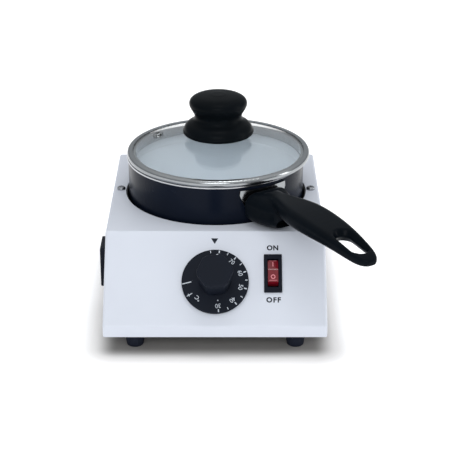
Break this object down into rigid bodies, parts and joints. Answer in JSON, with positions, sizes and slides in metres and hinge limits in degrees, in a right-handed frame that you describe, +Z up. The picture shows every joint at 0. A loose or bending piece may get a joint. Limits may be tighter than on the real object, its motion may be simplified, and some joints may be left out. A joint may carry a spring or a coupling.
{
  "type": "wax warmer pot",
  "caption": "Tabletop dry-heat melting pot: lidded saucepan sunk in a heated console with a dial thermostat and a lit rocker switch.",
  "frame": {"origin": "centre of the whole object's footprint box, on the surface that the feet stand on", "axes": "+Z up; +Y to the rear, so the sloped control panel faces -Y; +X to the right of someone facing the panel"},
  "size_m": [0.2086, 0.2658, 0.1631],
  "materials": {
    "white_powder_coat": "fine-textured powder coat",
    "galvanised_plate": "zinc-plated sheet",
    "well_black": "heat-resistant black coat",
    "pan_nonstick": "satin black non-stick outside, pale ceramic coat inside",
    "phenolic_black": "moulded phenolic, satin gloss",
    "phenolic_handle": "moulded phenolic, satin",
    "lid_glass": "clear tempered glass",
    "polished_steel": "polished stainless steel",
    "bright_steel": "nickel-plated steel",
    "blued_steel": "blackened steel",
    "dial_black": "moulded, fine matt, white print",
    "bezel_black": "moulded, matt",
    "rocker_red": "translucent red, gloss",
    "foot_rubber": "matt",
    "silicone_seal": "matt",
    "brass_contacts": "bright",
    "copper_tube": "drawn copper",
    "mica": "pressed mica",
    "ceramic_fibre": "needled fibre",
    "thermostat_case": "moulded",
    "lamp_glass": "neon lamp",
    "cutout_case": "drawn cup",
    "lead_brown": "silicone-sleeved lead",
    "lead_blue": "silicone-sleeved lead",
    "lead_black": "silicone-sleeved lead",
    "lead_green": "green and yellow earth lead"
  },
  "bodies": {
    "base": {"housing_shell": "white_powder_coat", "bottom_plate": "galvanised_plate", "rubber_feet": "foot_rubber", "foot_screws": "bright_steel", "foot_nuts": "bright_steel", "base_screws": "bright_steel", "heating_well": "well_black", "well_screws": "bright_steel", "well_nuts": "bright_steel", "heater_disc": "mica", "insulation_disc": "ceramic_fibre", "heater_clamp": "galvanised_plate", "clamp_nut": "bright_steel", "thermal_cutout": "cutout_case", "thermostat_body": "thermostat_case", "thermostat_screws": "bright_steel", "thermostat_terminals": "brass_contacts", "sensor_bulb": "copper_tube", "capillary_tube": "copper_tube", "switch_housing": "bezel_black", "switch_lamp": "lamp_glass", "switch_terminals": "brass_contacts", "inlet_body": "bezel_black", "inlet_pins": "bright_steel", "earth_screw": "bright_steel", "earth_nut": "bright_steel", "wire_live": "lead_brown", "wire_neutral": "lead_blue", "wire_switched": "lead_black", "wire_thermostat": "lead_brown", "wire_heater": "lead_brown", "wire_earth": "lead_green"},
    "dial": {"dial_knob": "dial_black", "dial_shaft": "bright_steel", "dial_spring_clip": "bright_steel"},
    "rocker": {"switch_rocker": "rocker_red"},
    "pot": {"pot_pan": "pan_nonstick", "handle_bracket": "polished_steel", "bracket_rivets": "bright_steel", "pot_handle": "phenolic_handle", "handle_screw": "blued_steel"},
    "lid": {"lid_rim": "polished_steel", "glass_lid": "lid_glass", "lid_knob": "phenolic_black", "knob_seal": "silicone_seal", "knob_washer": "bright_steel", "knob_screw": "bright_steel", "steam_vent": "polished_steel"}
  },
  "joints": [
    {"name": "dial_turn", "type": "hinge", "parent": "base", "child": "dial", "pos_m": [-0.01293, -0.06602, 0.04924], "axis": [0, -0.709, 0.7052], "range_deg": [-8.5, 265.8]},
    {"name": "rocker_tilt", "type": "hinge", "parent": "base", "child": "rocker", "pos_m": [0.03177, -0.05527, 0.0487], "axis": [1, 0, 0], "range_deg": [0, 20]},
    {"name": "pot_lift", "type": "slide", "parent": "base", "child": "pot", "axis": [0, 0, 1], "range_m": [0, 0.12]},
    {"name": "lid_lift", "type": "slide", "parent": "pot", "child": "lid", "axis": [0, 0, 1], "range_m": [0, 0.1]}
  ]
}
